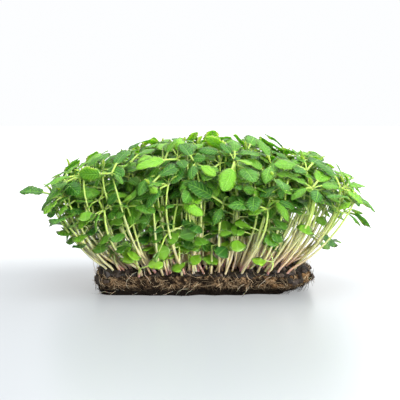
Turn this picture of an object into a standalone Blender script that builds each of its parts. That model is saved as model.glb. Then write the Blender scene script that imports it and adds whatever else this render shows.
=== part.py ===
"""Microgreens growing on a block of coir felt: the mat, the dark potting layer on it, and tufts of sprouts.

Lengths are in metres, +Z is up, and the origin is the centre of the mat's flat underside. The front is at -Y.
Each tuft is one solid: a root knot that stands in a hole of the potting layer, with its stems and leaves.
"""

import math
import random
from collections import namedtuple

import bmesh
import bpy
from mathutils import Matrix, Vector, kdtree, noise

MM = 0.001

# The coir mat, a block torn from a larger sheet. Its front right corner is torn off at a slant.
MAT_LENGTH = 112 * MM
MAT_DEPTH = 78 * MM
MAT_THICKNESS = 8.5 * MM
MAT_SQUARENESS = 7
MAT_POINTS = 44
MAT_TEAR = 0.9 * MM
TORN_CORNER_ANGLE = math.radians(-38)
TORN_CORNER_REACH = 58 * MM
UNDERCUT = 2.2 * MM
RIGHT_END_UNDERCUT = 8 * MM
DEEPEST_UNDERCUT = math.radians(-14)
MAT_WALL = ((0, 1), (0.3, 0.5), (0.65, 0.1))
MAT_TOP_INSET = 1.2 * MM

# The potting layer, which lies on the mat and stops short of the mat's edge.
GAP = 0.3 * MM
SOIL_THICKNESS = 2.6 * MM
SOIL_RELIEF = 1.1 * MM
SOIL_HEAP = 2.2 * MM
SOIL_SETBACK = 2.0 * MM
SOIL_GRAIN = 9 * MM
SOIL_EDGE = 1.0 * MM
SOIL_RINGS = (0.94, 0.55)

# The root knots. Each stands in a plain hole through the potting layer.
KNOT_RADIUS = 2.7 * MM
KNOT_RISE = 1.2 * MM
KNOT_DOME = 0.8 * MM
KNOT_SIDES = 5
SUNK = 0.7 * MM
HOLE_CLEARANCE = 0.35 * MM
DRILL_REACH = 9 * MM

# Where the tufts stand: how many there are in each row, from front to back, and how far in from the edge.
TUFT_ROWS = (5, 6, 7, 7, 6, 5)
TUFT_INSET_SIDEWAYS = 6 * MM
TUFT_INSET_FORWARDS = 4 * MM
TUFT_JITTER = 2.0 * MM
TUFT_MARGIN = 3.4 * MM
SPROUTS_IN_A_TUFT = 2
ROOT_SPREAD = 1.1 * MM

# How the sprouts stand. Heights are above the floor, and outer sprouts lean out over the mat's edge.
CROWN_HEIGHT = 74 * MM
FALL_SIDEWAYS = 25 * MM
FALL_FORWARDS = 9 * MM
CROWN_ROUNDNESS = 2.5
HEIGHT_RANGE = 20 * MM
TALL_ONES = 1.5
LEAN_OUT_SIDEWAYS = 0.66
LEAN_OUT_FORWARDS = 0.42
LEAN_JITTER = 9 * MM
BEND_JITTER = 6 * MM

# A stem's two bends, as shares of the way out and of the way up, and where its seed leaves stand on it.
LOW_BEND = (0.50, 0.20)
HIGH_BEND = (0.95, 0.62)
COTYLEDON_HEIGHT = (0.44, 0.72)

STEM_RADIUS = 0.85 * MM
STEM_TIP_RADIUS = 0.7 * MM
STEM_OVERRUN = 0.8 * MM
STEM_SIDES = 4
LEAF_THICKNESS = 0.9 * MM

# How far apart the pieces of two sprouts stay, measured between points spaced this closely on them.
CLEARANCE = 2.9 * MM
LEAF_STEP = 2.0 * MM
STEM_STEP = 1.6 * MM
KNOT_REACH = 5 * MM
FLOOR_CLEARANCE = 9 * MM
SOIL_CLEARANCE = 2.2 * MM
OVER_THE_MAT = 1.06

# How often a stem and a leaf are drawn anew until they stand clear, a leaf with a wider swing each time.
STEM_TRIES = 40
LEAF_TRIES = 24
FIRST_SWING = 0.25
MORE_SWING = 0.05
FEWEST_LEAVES = 2

# How far a leaf at the crown's edge turns its upper face outwards, in radians.
FACE_OUT = 0.6

SEED = 45

# A leaf's form. Lengths are shares of the whole leaf, stalk and blade, and droop is how far it bends down.
Form = namedtuple("Form", "stalk width droop fold blunt")
COTYLEDON_FORMS = (
    Form(stalk=0.38, width=0.36, droop=0.55, fold=-0.10, blunt=True),
    Form(stalk=0.42, width=0.39, droop=0.90, fold=0.16, blunt=True),
    Form(stalk=0.36, width=0.33, droop=0.30, fold=0.22, blunt=True),
)
TRUE_LEAF_FORMS = (
    Form(stalk=0.30, width=0.230, droop=1.10, fold=-0.25, blunt=False),
    Form(stalk=0.34, width=0.240, droop=0.80, fold=-0.10, blunt=False),
    Form(stalk=0.28, width=0.215, droop=1.40, fold=-0.35, blunt=False),
    Form(stalk=0.32, width=0.235, droop=0.55, fold=0.10, blunt=False),
)
STALK_HALF_WIDTH = 0.028
TOOTH_DEPTH = 0.09

# The largest values of the two width formulas, by which they are divided so that they reach just 1.
BLUNT_PEAK = 0.73
POINTED_PEAK = 0.446

# The two kinds of leaf: their forms, their whole length, the angle at which they leave the stem, and where
# along the blade a faceted one is widest or notched.
Kind = namedtuple("Kind", "forms sizes elevations rows")
COTYLEDON = Kind(COTYLEDON_FORMS, (10.5 * MM, 13.5 * MM), (0.1, 0.8), (0.34, 0.85))
TRUE_LEAF = Kind(TRUE_LEAF_FORMS, (13.5 * MM, 22 * MM), (0.15, 0.80), (0.12, 0.35, 0.60, 0.85))

Leaf = namedtuple("Leaf", "form at turn size")
Sprout = namedtuple("Sprout", "tuft path node leaves")

COLOURS = {
    "coir": ((0.115, 0.075, 0.042), 0.95),
    "soil": ((0.028, 0.020, 0.016), 0.95),
    "sprout": ((0.105, 0.270, 0.040), 0.45),
}


def mat_reach(angle):
    """How far the mat's uneven edge is from its centre: a rounded rectangle with a torn corner."""
    across = abs(math.cos(angle)) / (MAT_LENGTH / 2)
    along = abs(math.sin(angle)) / (MAT_DEPTH / 2)
    reach = (across**MAT_SQUARENESS + along**MAT_SQUARENESS) ** (-1 / MAT_SQUARENESS)
    towards_tear = math.cos(angle - TORN_CORNER_ANGLE)
    if towards_tear > 0:
        reach = min(reach, TORN_CORNER_REACH / towards_tear)
    return reach + MAT_TEAR * (math.sin(9 * angle) + math.sin(17 * angle + 1) - 1)


def mat_ring(inset_share, extra_inset, z):
    """One ring of the mat's edge. The share is of the undercut, which is deepest near the right end."""
    ring = []
    for i in range(MAT_POINTS):
        angle = math.tau * i / MAT_POINTS
        to_right = max(0, math.cos(angle - DEEPEST_UNDERCUT)) ** 3
        undercut = UNDERCUT + RIGHT_END_UNDERCUT * to_right
        reach = mat_reach(angle) - inset_share * undercut - extra_inset
        ring.append(Vector((reach * math.cos(angle), reach * math.sin(angle), z)))
    return ring


def soil_height(x, y):
    """The height of the potting layer's lumpy top above the floor. It is heaped a little at both ends."""
    lumps = noise.noise(Vector((x, y, 0)) / SOIL_GRAIN)
    heap = (2 * abs(x) / MAT_LENGTH) ** 5
    return MAT_THICKNESS + GAP + SOIL_THICKNESS + SOIL_RELIEF * lumps + SOIL_HEAP * heap


def edge_share(x, y):
    """0 at the mat's centre and 1 at its edge."""
    return math.hypot(x, y) / mat_reach(math.atan2(y, x))


def half_width(form, s):
    """Half the width of a leaf one unit long, at s along it from the stem to the tip."""
    if s <= form.stalk:
        return STALK_HALF_WIDTH
    u = min(1.0, (s - form.stalk) / (1 - form.stalk))
    if form.blunt:
        swell = u**0.5 * (1 - u**4) ** 0.5 / BLUNT_PEAK
    else:
        swell = u**0.55 * (1 - u) ** 0.62 / POINTED_PEAK
    return max(form.width * swell, STALK_HALF_WIDTH * (1 - u))


def leaf_point(form, s, side, raised=0.0):
    """A point of a leaf one unit long. side is 0 on its midrib and -1 or 1 at its edges."""
    bend = form.droop * s
    ahead = math.sin(bend) / form.droop
    down = (1 - math.cos(bend)) / form.droop
    upward = Vector((math.sin(bend), 0, math.cos(bend)))
    width = half_width(form, s) * side
    middle = Vector((ahead, width * math.cos(form.fold), -down))
    return middle + upward * (abs(width) * math.sin(form.fold) + raised)


def leaf_turn(azimuth, elevation, roll):
    """Turns a leaf that runs along +X to this compass direction, start angle and roll."""
    flat = Matrix.Rotation(azimuth, 3, "Z") @ Matrix.Rotation(-elevation, 3, "Y")
    return flat @ Matrix.Rotation(roll, 3, "X")


def leaf_probes(leaf):
    """Points spread over a leaf, for telling whether it stands clear."""
    probes = []
    steps = max(4, round(leaf.size / LEAF_STEP))
    for i in range(2, steps + 1):
        s = i / steps
        across = max(1, round(half_width(leaf.form, s) * leaf.size / LEAF_STEP))
        for k in range(-across, across + 1):
            local = leaf_point(leaf.form, s, k / across)
            probes.append(leaf.at + leaf.turn @ (local * leaf.size))
    return probes


def bezier(corners, t):
    """A point of the cubic curve through these four control points."""
    a, b, c, d = corners
    u = 1 - t
    return a * u**3 + b * (3 * u * u * t) + c * (3 * u * t * t) + d * t**3


def stem_probes(path):
    """Points along a stem, from a little above its root knot."""
    steps = max(6, round((path[3] - path[0]).length / STEM_STEP))
    points = [bezier(path, i / steps) for i in range(steps + 1)]
    return [p for p in points if (p - path[0]).length > KNOT_REACH]


class Clearing:
    """The space already held by stems and leaves, as points with the tuft and kind that each belongs to."""

    def __init__(self):
        self.points = []
        self.owners = []
        self.tree = None

    def is_free(self, probes, tuft, kind):
        """Whether all probes stay clear of the floor, the potting layer and what others hold."""
        for p in probes:
            lowest = FLOOR_CLEARANCE
            if edge_share(p.x, p.y) < OVER_THE_MAT:
                lowest = soil_height(p.x, p.y) + SOIL_CLEARANCE
            if p.z < lowest:
                return False
            if self.tree is None:
                continue
            for _, index, _ in self.tree.find_range(p, CLEARANCE):
                if self.owners[index] != (tuft, kind) or kind != "stem":
                    return False
        return True

    def hold(self, probes, tuft, kind):
        self.points += probes
        self.owners += [(tuft, kind)] * len(probes)
        self.tree = kdtree.KDTree(len(self.points))
        for i, p in enumerate(self.points):
            self.tree.insert(p, i)
        self.tree.balance()


def tuft_places(draw):
    """Where the tufts stand: rows along the mat, each place drawn a little off its row."""
    places = []
    for row, count in enumerate(TUFT_ROWS):
        across = (row + 0.5) / len(TUFT_ROWS) * 2 - 1
        for k in range(count):
            along = (k + 0.5) / count * 2 - 1
            x = along * (MAT_LENGTH / 2 - TUFT_INSET_SIDEWAYS) + draw.uniform(-TUFT_JITTER, TUFT_JITTER)
            y = across * (MAT_DEPTH / 2 - TUFT_INSET_FORWARDS) + draw.uniform(-TUFT_JITTER, TUFT_JITTER)
            limit = mat_reach(math.atan2(y, x)) - SOIL_SETBACK - KNOT_RADIUS - TUFT_MARGIN
            if math.hypot(x, y) > limit:
                x, y = Vector((x, y)).normalized() * limit
            places.append(Vector((x, y, soil_height(x, y) + KNOT_RISE)))
    return places


def draw_path(root, draw):
    """A stem's curve: out towards the nearest edge first, and then up."""
    share = edge_share(root.x, root.y)
    top = Vector()
    top.x = root.x * (1 + LEAN_OUT_SIDEWAYS * share) + draw.uniform(-LEAN_JITTER, LEAN_JITTER)
    top.y = root.y * (1 + LEAN_OUT_FORWARDS * share) + draw.uniform(-LEAN_JITTER, LEAN_JITTER)
    sideways = FALL_SIDEWAYS * (2 * abs(root.x) / MAT_LENGTH) ** CROWN_ROUNDNESS
    forwards = FALL_FORWARDS * (2 * abs(root.y) / MAT_DEPTH) ** CROWN_ROUNDNESS
    top.z = CROWN_HEIGHT - sideways - forwards - HEIGHT_RANGE * draw.random() ** TALL_ONES
    bends = []
    for out, up in (LOW_BEND, HIGH_BEND):
        bend = root + (top - root) * out
        bend.x += draw.uniform(-BEND_JITTER, BEND_JITTER)
        bend.y += draw.uniform(-BEND_JITTER, BEND_JITTER)
        bend.z = root.z + (top.z - root.z) * up
        bends.append(bend)
    return (root, *bends, top)


def draw_leaf(kind, at, azimuth, tuft, held, draw):
    """A leaf bent clear of all that stands already, or None where nothing fits."""
    form = draw.choice(kind.forms)
    size = draw.uniform(*kind.sizes)
    outward = math.atan2(at.y, at.x)
    tilt = FACE_OUT * min(1.0, edge_share(at.x, at.y))
    for attempt in range(LEAF_TRIES):
        swing = FIRST_SWING + MORE_SWING * attempt
        heading = azimuth + draw.uniform(-swing, swing)
        elevation = draw.uniform(*kind.elevations) - tilt * math.cos(heading - outward)
        roll = draw.uniform(-swing, swing) + tilt * math.sin(heading - outward)
        leaf = Leaf(form, at, leaf_turn(heading, elevation, roll), size)
        probes = leaf_probes(leaf)
        if held.is_free(probes, tuft, "leaf"):
            return leaf, probes
    return None


def grow_sprout(tuft, place, held, draw):
    """One sprout of a tuft, or None where its stem finds no room."""
    for _ in range(STEM_TRIES):
        root = place.copy()
        root.x += draw.uniform(-ROOT_SPREAD, ROOT_SPREAD)
        root.y += draw.uniform(-ROOT_SPREAD, ROOT_SPREAD)
        path = draw_path(root, draw)
        stem = stem_probes(path)
        if held.is_free(stem, tuft, "stem"):
            break
    else:
        return None
    azimuth = draw.uniform(0, math.tau)
    node = draw.uniform(*COTYLEDON_HEIGHT)
    leaves = []
    own = []
    for kind, along, first in ((TRUE_LEAF, 1, azimuth + math.pi / 2), (COTYLEDON, node, azimuth)):
        for side in (0, math.pi):
            found = draw_leaf(kind, bezier(path, along), first + side, tuft, held, draw)
            if found:
                leaves.append(found[0])
                own += found[1]
    if len(leaves) < FEWEST_LEAVES:
        return None
    held.hold(stem, tuft, "stem")
    held.hold(own, tuft, "leaf")
    return Sprout(tuft, path, node, leaves)


def grow_sprouts(places):
    """Every sprout, grown one after another in a mixed order so that no side fills first."""
    draw = random.Random(SEED)
    held = Clearing()
    sprouts = []
    for _ in range(SPROUTS_IN_A_TUFT):
        order = list(range(len(places)))
        draw.shuffle(order)
        for tuft in order:
            sprout = grow_sprout(tuft, places[tuft], held, draw)
            if sprout:
                sprouts.append(sprout)
    return sprouts


def finish_mesh(bm, name):
    """Turns a bmesh into a closed mesh whose faces point out."""
    bmesh.ops.recalc_face_normals(bm, faces=bm.faces)
    mesh = bpy.data.meshes.new(name)
    bm.to_mesh(mesh)
    bm.free()
    return mesh


def add_object(name, mesh, at=(0, 0, 0)):
    """An object with this mesh and its origin at this place."""
    obj = bpy.data.objects.new(name, mesh)
    obj.location = at
    bpy.context.scene.collection.objects.link(obj)
    return obj


def bridge(bm, rings):
    """Walls between rings of vertices, each ring closed."""
    for lower, upper in zip(rings, rings[1:]):
        count = len(lower)
        for i in range(count):
            j = (i + 1) % count
            bm.faces.new((lower[i], lower[j], upper[j], upper[i]))


def mat_mesh():
    """The mat: a flat underside, a ragged wall that is widest above half height, and a flat top."""
    bm = bmesh.new()
    rings = []
    for height, inset_share in MAT_WALL:
        level = mat_ring(inset_share, 0, height * MAT_THICKNESS)
        rings.append([bm.verts.new(p) for p in level])
    rings.append([bm.verts.new(p) for p in mat_ring(0, MAT_TOP_INSET, MAT_THICKNESS)])
    bridge(bm, rings)
    bm.faces.new(rings[0])
    bm.faces.new(rings[-1])
    return finish_mesh(bm, "mat")


def soil_mesh():
    """The potting layer: a flat underside, a low edge, and a lumpy top in rings round its middle."""
    bm = bmesh.new()
    outer = mat_ring(0, MAT_TOP_INSET + SOIL_SETBACK, MAT_THICKNESS + GAP)
    rings = [[bm.verts.new(p) for p in outer]]
    rings.append([bm.verts.new(p + Vector((0, 0, SOIL_EDGE))) for p in outer])
    for share in SOIL_RINGS:
        ring = []
        for p in outer:
            x = p.x * share
            y = p.y * share
            ring.append(bm.verts.new((x, y, soil_height(x, y))))
        rings.append(ring)
    bridge(bm, rings)
    bm.faces.new(rings[0])
    middle = bm.verts.new((0, 0, soil_height(0, 0)))
    last = rings[-1]
    for i, corner in enumerate(last):
        bm.faces.new((corner, last[(i + 1) % len(last)], middle))
    return finish_mesh(bm, "soil")


def prism_mesh(radius, bottom, top, dome=0.0):
    """An upright prism round the Z axis, with a peaked top where dome is more than 0."""
    bm = bmesh.new()
    rings = []
    for z in (bottom, top):
        ring = []
        for i in range(KNOT_SIDES):
            angle = math.tau * (i + 0.5) / KNOT_SIDES
            ring.append(bm.verts.new((radius * math.cos(angle), radius * math.sin(angle), z)))
        rings.append(ring)
    bridge(bm, rings)
    bm.faces.new(rings[0])
    if dome:
        peak = bm.verts.new((0, 0, top + dome))
        for i, corner in enumerate(rings[1]):
            bm.faces.new((corner, rings[1][(i + 1) % KNOT_SIDES], peak))
    else:
        bm.faces.new(rings[1])
    return finish_mesh(bm, "prism")


def stem_mesh(sprout):
    """A stem as a tapering tube, with a ring where its seed leaves stand and its root end in the knot."""
    bm = bmesh.new()
    node = sprout.node
    stations = (0, node / 2, node, (node + 1) / 2, 1)
    points = [bezier(sprout.path, t) for t in stations]
    points[0].z -= SUNK
    points[-1] += (points[-1] - points[-2]).normalized() * STEM_OVERRUN
    rings = []
    for i, (t, point) in enumerate(zip(stations, points)):
        ahead = (points[min(i + 1, len(points) - 1)] - points[max(i - 1, 0)]).normalized()
        side = ahead.cross(Vector((0, 1, 0))).normalized()
        front = ahead.cross(side)
        radius = STEM_RADIUS + (STEM_TIP_RADIUS - STEM_RADIUS) * t
        ring = []
        for k in range(STEM_SIDES):
            angle = math.tau * k / STEM_SIDES
            outward = side * math.cos(angle) + front * math.sin(angle)
            ring.append(bm.verts.new(point + outward * radius))
        rings.append(ring)
    bridge(bm, rings)
    bm.faces.new(rings[0])
    bm.faces.new(rings[-1])
    return finish_mesh(bm, "stem")


def leaf_mesh(leaf):
    """A leaf as a thin blade with a ridge along its midrib and teeth drawn larger than life."""
    form = leaf.form
    bm = bmesh.new()
    shares = COTYLEDON.rows if form.blunt else TRUE_LEAF.rows
    stations = [0.0, form.stalk] + [form.stalk + u * (1 - form.stalk) for u in shares]
    half_thick = LEAF_THICKNESS / 2 / leaf.size

    def vertex(s, side, raised):
        return bm.verts.new(leaf.at + leaf.turn @ (leaf_point(form, s, side, raised) * leaf.size))

    rings = []
    for i, s in enumerate(stations):
        tooth = 1.0
        if i > 1 and not form.blunt:
            tooth = 1 - TOOTH_DEPTH * (-1) ** i
        ring = ((s, -tooth, 0.0), (s, 0, -half_thick), (s, tooth, 0.0), (s, 0, half_thick))
        rings.append([vertex(*corner) for corner in ring])
    bridge(bm, rings)
    bm.faces.new(rings[0])
    tip = vertex(1.0, 0, 0.0)
    last = rings[-1]
    for i, corner in enumerate(last):
        bm.faces.new((corner, last[(i + 1) % len(last)], tip))
    return finish_mesh(bm, "leaf")


def boolean(obj, tools, operation, solver):
    """Joins the tool objects to this object, or cuts them from it, and removes them."""
    group = bpy.data.collections.new("tools")
    for tool in tools:
        group.objects.link(tool)
    modifier = obj.modifiers.new("tools", "BOOLEAN")
    modifier.operation = operation
    modifier.solver = solver
    modifier.operand_type = "COLLECTION"
    modifier.collection = group
    graph = bpy.context.evaluated_depsgraph_get()
    joined = bpy.data.meshes.new_from_object(obj.evaluated_get(graph))
    joined.name = obj.name
    obj.modifiers.remove(modifier)
    obj.data = joined
    for tool in tools:
        bpy.data.objects.remove(tool)
    bpy.data.collections.remove(group)


def make_material(name):
    colour, roughness = COLOURS[name]
    material = bpy.data.materials.new(name)
    material.use_nodes = True
    surface = material.node_tree.nodes["Principled BSDF"]
    surface.inputs["Base Color"].default_value = (*colour, 1)
    surface.inputs["Roughness"].default_value = roughness
    surface.inputs["Metallic"].default_value = 0.0
    return material


def make_mat():
    mat = add_object("coir_mat", mat_mesh())
    mat.data.materials.append(make_material("coir"))
    return mat


def make_soil(places):
    """The potting layer, with a plain hole for each root knot."""
    soil = add_object("potting_layer", soil_mesh())
    drills = []
    for place in places:
        drill = prism_mesh(KNOT_RADIUS + HOLE_CLEARANCE, -DRILL_REACH, DRILL_REACH)
        drills.append(add_object("drill", drill, place))
    boolean(soil, drills, "DIFFERENCE", "EXACT")
    soil.data.materials.append(make_material("soil"))
    return soil


def make_tuft(number, place, sprouts, material):
    """One tuft: its root knot, joined with the stems and leaves of its sprouts."""
    foot = MAT_THICKNESS + GAP - place.z
    tuft = add_object(f"sprout_tuft_{number:02d}", prism_mesh(KNOT_RADIUS, foot, 0, KNOT_DOME), place)
    pieces = []
    for sprout in sprouts:
        pieces.append(add_object("stem", stem_mesh(sprout)))
        for leaf in sprout.leaves:
            pieces.append(add_object("leaf", leaf_mesh(leaf)))
    boolean(tuft, pieces, "UNION", "MANIFOLD")
    tuft.data.materials.append(material)
    return tuft


def main():
    for obj in list(bpy.data.objects):
        bpy.data.objects.remove(obj)
    places = tuft_places(random.Random(SEED))
    sprouts = grow_sprouts(places)
    growing = sorted({sprout.tuft for sprout in sprouts})
    pieces = [make_mat(), make_soil([places[tuft] for tuft in growing])]
    green = make_material("sprout")
    for number, tuft in enumerate(growing):
        own = [sprout for sprout in sprouts if sprout.tuft == tuft]
        pieces.append(make_tuft(number + 1, places[tuft], own, green))
    block = bpy.data.objects.new("microgreens", None)
    bpy.context.scene.collection.objects.link(block)
    for piece in pieces:
        piece.parent = block


main()
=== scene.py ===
"""Dresses the block of microgreens: fine leaves, stems, seed hulls, potting mix, coir felt, roots and light.

Lengths are in metres and +Z is up. The sprouts of the solid model are grown again here by the same rule
and the same seed, so every fine leaf lies where its solid one does, and more sprouts are then grown
between them.
"""

import math
import random
from collections import namedtuple

import bmesh
import bpy
from mathutils import Matrix, Vector, kdtree, noise


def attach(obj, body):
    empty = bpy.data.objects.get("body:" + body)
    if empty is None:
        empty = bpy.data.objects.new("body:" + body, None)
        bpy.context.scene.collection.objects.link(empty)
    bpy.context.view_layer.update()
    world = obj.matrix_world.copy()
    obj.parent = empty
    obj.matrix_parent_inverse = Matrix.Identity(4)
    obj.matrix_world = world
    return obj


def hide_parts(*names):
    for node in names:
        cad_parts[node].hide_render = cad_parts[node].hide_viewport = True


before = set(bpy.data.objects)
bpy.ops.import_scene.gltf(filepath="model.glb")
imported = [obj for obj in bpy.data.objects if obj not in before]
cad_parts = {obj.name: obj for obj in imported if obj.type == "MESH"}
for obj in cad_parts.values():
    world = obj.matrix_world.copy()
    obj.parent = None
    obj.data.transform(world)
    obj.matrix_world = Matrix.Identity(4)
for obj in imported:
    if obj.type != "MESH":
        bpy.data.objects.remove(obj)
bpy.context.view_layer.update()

MM = 0.001

# The coir mat, a block torn from a larger sheet. Its front right corner is torn off at a slant.
MAT_LENGTH = 112 * MM
MAT_DEPTH = 78 * MM
MAT_THICKNESS = 8.5 * MM
MAT_SQUARENESS = 7
MAT_TEAR = 0.9 * MM
TORN_CORNER_ANGLE = math.radians(-38)
TORN_CORNER_REACH = 58 * MM
UNDERCUT = 2.2 * MM
RIGHT_END_UNDERCUT = 8 * MM
DEEPEST_UNDERCUT = math.radians(-14)

# The potting layer, which lies on the mat and stops short of the mat's edge.
GAP = 0.3 * MM
SOIL_THICKNESS = 2.6 * MM
SOIL_RELIEF = 1.1 * MM
SOIL_HEAP = 2.2 * MM
SOIL_SETBACK = 2.0 * MM
SOIL_GRAIN = 9 * MM

KNOT_RADIUS = 2.7 * MM
KNOT_RISE = 1.2 * MM

# Where the tufts stand: how many there are in each row, from front to back, and how far in from the edge.
TUFT_ROWS = (5, 6, 7, 7, 6, 5)
TUFT_INSET_SIDEWAYS = 6 * MM
TUFT_INSET_FORWARDS = 4 * MM
TUFT_JITTER = 2.0 * MM
TUFT_MARGIN = 3.4 * MM
SPROUTS_IN_A_TUFT = 2
ROOT_SPREAD = 1.1 * MM

# How the sprouts stand. Heights are above the floor, and outer sprouts lean out over the mat's edge.
CROWN_HEIGHT = 74 * MM
FALL_SIDEWAYS = 25 * MM
FALL_FORWARDS = 9 * MM
CROWN_ROUNDNESS = 2.5
HEIGHT_RANGE = 20 * MM
TALL_ONES = 1.5
LEAN_OUT_SIDEWAYS = 0.66
LEAN_OUT_FORWARDS = 0.42
LEAN_JITTER = 9 * MM
BEND_JITTER = 6 * MM

# A stem's two bends, as shares of the way out and of the way up, and where its seed leaves stand on it.
LOW_BEND = (0.50, 0.20)
HIGH_BEND = (0.95, 0.62)
COTYLEDON_HEIGHT = (0.44, 0.72)

STEM_RADIUS = 0.64 * MM
STEM_TIP_RADIUS = 0.46 * MM

# How far apart the pieces of two sprouts stay, measured between points spaced this closely on them.
CLEARANCE = 2.9 * MM
LEAF_STEP = 2.0 * MM
STEM_STEP = 1.6 * MM
KNOT_REACH = 5 * MM
FLOOR_CLEARANCE = 9 * MM
SOIL_CLEARANCE = 2.2 * MM
OVER_THE_MAT = 1.06
MOST_LATE = 1500

# How often a stem and a leaf are drawn anew until they stand clear, a leaf with a wider swing each time.
STEM_TRIES = 40
LEAF_TRIES = 24
FIRST_SWING = 0.25
MORE_SWING = 0.05
FEWEST_LEAVES = 2

# How far a leaf at the crown's edge turns its upper face outwards, in radians.
FACE_OUT = 0.6

SEED = 45

# How bright the white studio is on the sprouts, from straight ahead and from above, and where it is seen.
LEVEL_LIGHT = 0.50
OVERHEAD_LIGHT = 1.15
SEEN_WHITE = 1.0

# How far the floor runs, how far it lies below the block, how much painted glow it is seen with near the mat,
# and how much more further off; the weaker glow near the mat leaves a painted shadow around the block.
FLOOR_REACH = 4.0
FLOOR_DROP = 0.2 * MM
FLOOR_GLOW = 0.32
FAR_GLOW = 0.6
GLOW_CENTRE = (-0.03, -0.12, 0)
GLOW_RISES = (0.16, 0.34)

Lamp = namedtuple("Lamp", "name at target size power colour")
LAMPS = (
    Lamp("back_window", (0.40, 0.60, 0.75), (0, 0, 0.05), 2.0, 12, (1, 0.99, 0.97)),
    Lamp("top", (0.1, -0.25, 0.9), (0, 0, 0.05), 0.7, 8, (1, 1, 1)),
    Lamp("front_right", (0.35, -0.60, 0.16), (0.01, 0, 0.03), 0.5, 8, (1, 0.99, 0.97)),
)

# The camera looks level at the mat's long side from a little above, with the lens and sensor in millimetres.
CAMERA_AIM = (-2.1 * MM, 0, 45.4 * MM)
CAMERA_DISTANCE = 0.595
CAMERA_ELEVATION = math.radians(5)
CAMERA_LENS = 100
SENSOR_WIDTH = 36

# A leaf's form. Lengths are shares of the whole leaf, stalk and blade, and droop is how far it bends down.
Form = namedtuple("Form", "stalk width droop fold blunt")
COTYLEDON_FORMS = (
    Form(stalk=0.38, width=0.36, droop=0.55, fold=-0.10, blunt=True),
    Form(stalk=0.42, width=0.39, droop=0.90, fold=0.16, blunt=True),
    Form(stalk=0.36, width=0.33, droop=0.30, fold=0.22, blunt=True),
)
TRUE_LEAF_FORMS = (
    Form(stalk=0.30, width=0.230, droop=1.10, fold=-0.25, blunt=False),
    Form(stalk=0.34, width=0.240, droop=0.80, fold=-0.10, blunt=False),
    Form(stalk=0.28, width=0.215, droop=1.40, fold=-0.35, blunt=False),
    Form(stalk=0.32, width=0.235, droop=0.55, fold=0.10, blunt=False),
)
YOUNG_LEAF_FORMS = (
    Form(stalk=0.16, width=0.150, droop=0.35, fold=0.80, blunt=False),
    Form(stalk=0.12, width=0.190, droop=0.80, fold=0.55, blunt=False),
)
STALK_HALF_WIDTH = 0.028

# The largest values of the two width formulas, by which they are divided so that they reach just 1.
BLUNT_PEAK = 0.73
POINTED_PEAK = 0.446

# The kinds of leaf: their forms, their whole length, and the angle at which they leave the stem.
Kind = namedtuple("Kind", "forms sizes elevations")
COTYLEDON = Kind(COTYLEDON_FORMS, (10.5 * MM, 13.5 * MM), (0.1, 0.8))
TRUE_LEAF = Kind(TRUE_LEAF_FORMS, (13.5 * MM, 22 * MM), (0.15, 0.80))
SECOND_LEAF = Kind(TRUE_LEAF_FORMS, (9 * MM, 15 * MM), (0.15, 0.9))
YOUNG_LEAF = Kind(YOUNG_LEAF_FORMS, (5 * MM, 9.5 * MM), (0.85, 1.35))

Leaf = namedtuple("Leaf", "form at turn size")
Sprout = namedtuple("Sprout", "tuft path node leaves")

# The sprouts grown between those of the solid model: how many are tried, their first number, and how near
# they come to others.
MORE_SPROUTS = 900
FIRST_MORE_TUFT = 600
MORE_SEED = 5
MORE_CLEARANCE = 0.9 * MM
MORE_ROOT_SPACING = 2.0 * MM
SPARSE_FROM = 34 * MM
SPARSE_SPACING = 3.6 * MM
MORE_HEIGHT_RANGE = 22 * MM

# Late sprouts with only their seed leaves, one of them at the front left, the sprout that reaches furthest to
# the left, a bent one at the front, and hulls left on seed leaves. The paths are in millimetres.
RUNTS = 26
RUNT_SEED = 3
RUNT_INSET = (1 * MM, 7 * MM)
RUNT_HEIGHT = (5 * MM, 15 * MM)
RUNT_LEAN = 4 * MM
FRONT_RUNT_PATH = ((-33, -36, 11), (-33, -38, 12), (-32.5, -40, 13), (-32, -41, 14.5))
FRONT_RUNT_LEAF_SIZE = 12 * MM
REACHING_PATH = ((-46, -16, 12), (-64, -22, 17), (-75, -27, 36), (-76, -28, 50))
REACHING_LEAF_SIZE = 19 * MM
BENT_PATH = ((-6, -34, 11), (-1, -45, 37), (-17, -47, 42), (-21, -47, 27))
BENT_LEAF_SIZE = 9 * MM
REACHING_TUFT = -900
SECOND_TUFT = -1000
HULLS = 16
HULL_SIZE = (2.2 * MM, 2.9 * MM)

# How far the crown reaches to each side at these heights above the floor, both in millimetres, and how
# much less it reaches to the front and back.
CROWN_OUTLINE = ((0, 60), (28, 68), (44, 84), (60, 80), (72, 64), (86, 40))
CROWN_DEPTH_SHARE = 0.76

# The crown is open low down at the right end, where only stems show.
OPEN_FROM = 42 * MM
OPEN_BELOW = 42 * MM

# The fine leaves: their pairs of teeth, how many shapes each form has, how thick they are, and how deep they
# are quilted and waved.
TOOTH_PAIRS = 7
YOUNG_TOOTH_PAIRS = 4
LEAF_VARIANTS = 3
WITH_YOUNG_LEAVES = 0.5
TOOTH_DEPTH = 0.07
BLADE_HALF_THICKNESS = 0.006
STALK_HALF_THICKNESS = 0.024
MIDRIB_DEPTH = 0.012
QUILT_DEPTH = 0.075
WAVE_DEPTH = 0.12

STEM_POINTS = 12
STEM_SIDES = 8
ROOT_DEPTH = 1.8 * MM

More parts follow.
